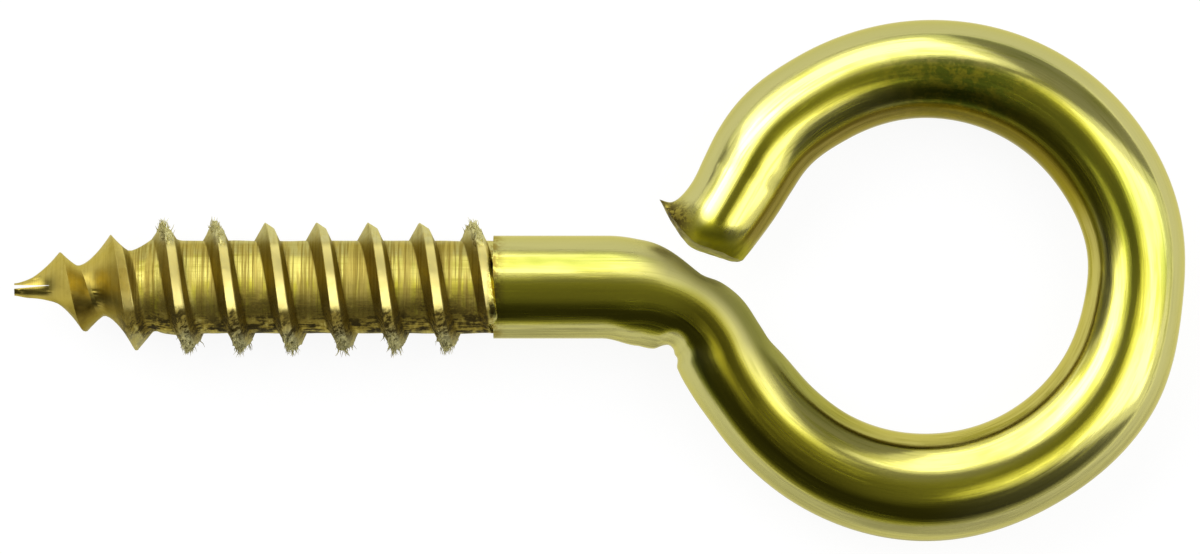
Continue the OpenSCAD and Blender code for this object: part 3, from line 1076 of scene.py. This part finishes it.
# %% Roughness, relief and the finished brass
near_neck = span(along, NECK_AT - 2 * MM, NECK_AT + 1 * MM, EYE_AT + 2 * MM, EYE_AT + 7 * MM)
scratched = times(core, without(times(point, 0.4)))
rough = brass.plus(0.11, times(fade(lines, 0.4, 0.75), 0.1))
for share, more in (
    (film, 0.12), (scratched, 0.34), (strand, 0.3), (torn, 0.2),
    (pressed, 0.42), (near_neck, 0.03), (cut, 0.3), (dirt, 0.3),
):
    rough = brass.math("ADD", rough, times(share, more), clamp_it=True)

relief = brass.plus(times(lines, 0.35), times(broad_lines, 0.65))
wire_bump = brass.add("Bump", {"Height": relief, "Strength": 0.5, "Distance": 0.012 * MM})
scratches = times(brass.plus(turned, times(spots, low_third)), core, without(point))
thread_bump = brass.add("Bump", {
    "Height": scratches, "Strength": 0.8, "Distance": 0.03 * MM, "Normal": wire_bump.outputs[0]})
metal = brass.add("BsdfPrincipled", {
    "Base Color": colour, "Metallic": without(times(dirt, 0.7)), "Roughness": rough,
    "Specular IOR Level": 0.15, "Specular Tint": EDGE, "Normal": thread_bump.outputs[0]})
brass.add("OutputMaterial", {"Surface": metal.outputs[0]})
print("finished brass:", len(brass.tree.nodes), "nodes")

# %% [markdown]
# ## The finished piece takes the CAD node's place
# The piece gets its material and smooth shading, which keeps only the edges sharper than
# `SHARP`. Then the CAD node is hidden, and the piece is hung on the empty of the body that
# carries it.

# %% Finish the piece
SHARP = radians(27)
wire.data.materials.clear()
wire.data.materials.append(drawn_brass)
select_only(wire)
bpy.ops.object.shade_smooth_by_angle(angle=SHARP, keep_sharp_edges=False)
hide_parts("screw_eye")
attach(wire, "root")
print("finished piece:", wire.name, "in", wire.data.materials[0].name)

# %% [markdown]
# ## The floor
# A plain pale table top lies under the piece. Light Path tells what kind of ray meets it: to
# the camera and in reflections it is white, but it keeps a share of plain diffuse paint, so
# that the shadow shows. More light on the piece would make the floor white too, but it would
# also bleach the brass.


# %% Table top
def table_paint():
    material = bpy.data.materials.new("white_table")
    paint = Nodes(material)
    rays = paint.add("LightPath").outputs
    seen = paint.most(rays["Is Camera Ray"], rays["Is Glossy Ray"], rays["Is Transmission Ray"])
    matt = paint.add("BsdfDiffuse", {"Color": (0.85, 0.85, 0.85, 1)})
    white = paint.add("Emission", {"Color": (1, 1, 1, 1), "Strength": 1.06})
    share = paint.times(seen, 0.86)
    both = paint.add("MixShader", {0: share, 1: matt.outputs[0], 2: white.outputs[0]})
    paint.add("OutputMaterial", {"Surface": both.outputs[0]})
    return material


deselect_all()
bpy.ops.mesh.primitive_plane_add(size=1.6, location=(0, 0, low.z))
table = bpy.context.object
table.name = "table_top"
bpy.ops.object.transform_apply(location=True, rotation=True, scale=True)
table.data.materials.append(table_paint())
print("table top at", round(low.z / MM, 2), "mm")

# %% [markdown]
# ## The studio
# Metal shows its surroundings, so the studio is part of the look. Three soft boxes give the
# brass its highlights: one lower down on the +Y side, one high over the thread's end, and
# one on the right, over the far side of the eye. A real soft box is brighter in the middle,
# so each is a pair of lamps, with a small bright one in front of a wide dim one. Dim walls,
# which are lighter on the +Y side, and a pale line along the horizon do the rest, and give
# the metal its dark bands.

# %% World and lamps
MIDDLE_X = -12.7 * MM  # halfway along the piece, where the lamps and the camera aim

# Each row: name, degrees round from +X, degrees down from straight up, metres away,
# degrees wide, degrees tall, radiance.
SOFT_BOXES = [
    ("left_box", 117, 56, 0.32, 74, 64, 0.6),
    ("left_box_middle", 115, 54, 0.3, 56, 46, 1.3),
    ("upper_left_box", 158, 36, 0.32, 52, 48, 0.6),
    ("upper_left_middle", 158, 36, 0.3, 38, 37, 1.3),
    ("right_box", -5, 48.5, 0.32, 62, 78, 0.6),
    ("right_box_middle", -5, 44.5, 0.3, 46, 56, 1.3),
]


def soft_box(name, azimuth, zenith, distance, wide, tall, radiance):
    """A soft box that fills the given angles, in degrees, as the object sees it."""
    a, t = radians(azimuth), radians(zenith)
    width, height = (2 * distance * tan(radians(v / 2)) for v in (wide, tall))
    towards = Vector((cos(a) * sin(t), sin(a) * sin(t), cos(t)))
    data = bpy.data.lights.new(name, "AREA")
    data.shape, data.size, data.size_y = "RECTANGLE", width, height
    data.energy = radiance * pi * width * height
    box = bpy.data.objects.new(name, data)
    box.location = Vector((MIDDLE_X, 0, 0)) + towards * distance
    box.rotation_euler = (-towards).to_track_quat("-Z", "Y").to_euler()
    box.visible_camera = False
    scene.collection.objects.link(box)
    return box


def surroundings():
    """A dim room: one side lighter, a faint glow overhead and a pale line at the horizon."""
    scene.world = bpy.data.worlds.new("studio")
    room = Nodes(scene.world)
    direction = room.add("TexCoord").outputs["Generated"]
    x, y, z = room.add("SeparateXYZ", {0: direction}).outputs
    lit_side = room.plus(room.times(x, 0.5), room.times(y, 0.87))
    wall = room.fade(lit_side, -0.75, 0.45, 0.03, 0.27)
    overhead = room.fade(z, 0.6, 0.98, 0.0, 0.16)
    horizon = room.fade(z, 0.0, 0.3, 0.4, 0.0)
    back = room.add("Background", {"Strength": room.most(wall, overhead, horizon)})
    room.add("OutputWorld", {"Surface": back.outputs[0]})


surroundings()
lamps = [soft_box(*row) for row in SOFT_BOXES]
print("lamps:", [lamp.name for lamp in lamps])

# %% [markdown]
# ## Camera
# A long lens from straight above shows the piece square on, with hardly any perspective.

# %% Camera
VIEW_WIDTH, VIEW_Y = 46.6 * MM, 0.04 * MM
LENS, SENSOR = 300, 36
lens = bpy.data.cameras.new("long_lens")
lens.lens, lens.sensor_width = LENS, SENSOR
lens.clip_start, lens.clip_end = 0.01, 5
camera = bpy.data.objects.new("camera", lens)
camera.location = (MIDDLE_X, VIEW_Y, VIEW_WIDTH * LENS / SENSOR)
scene.collection.objects.link(camera)
scene.camera = camera
scene.view_settings.view_transform = "Standard"
print("camera is", round(camera.location.z, 3), "m up")
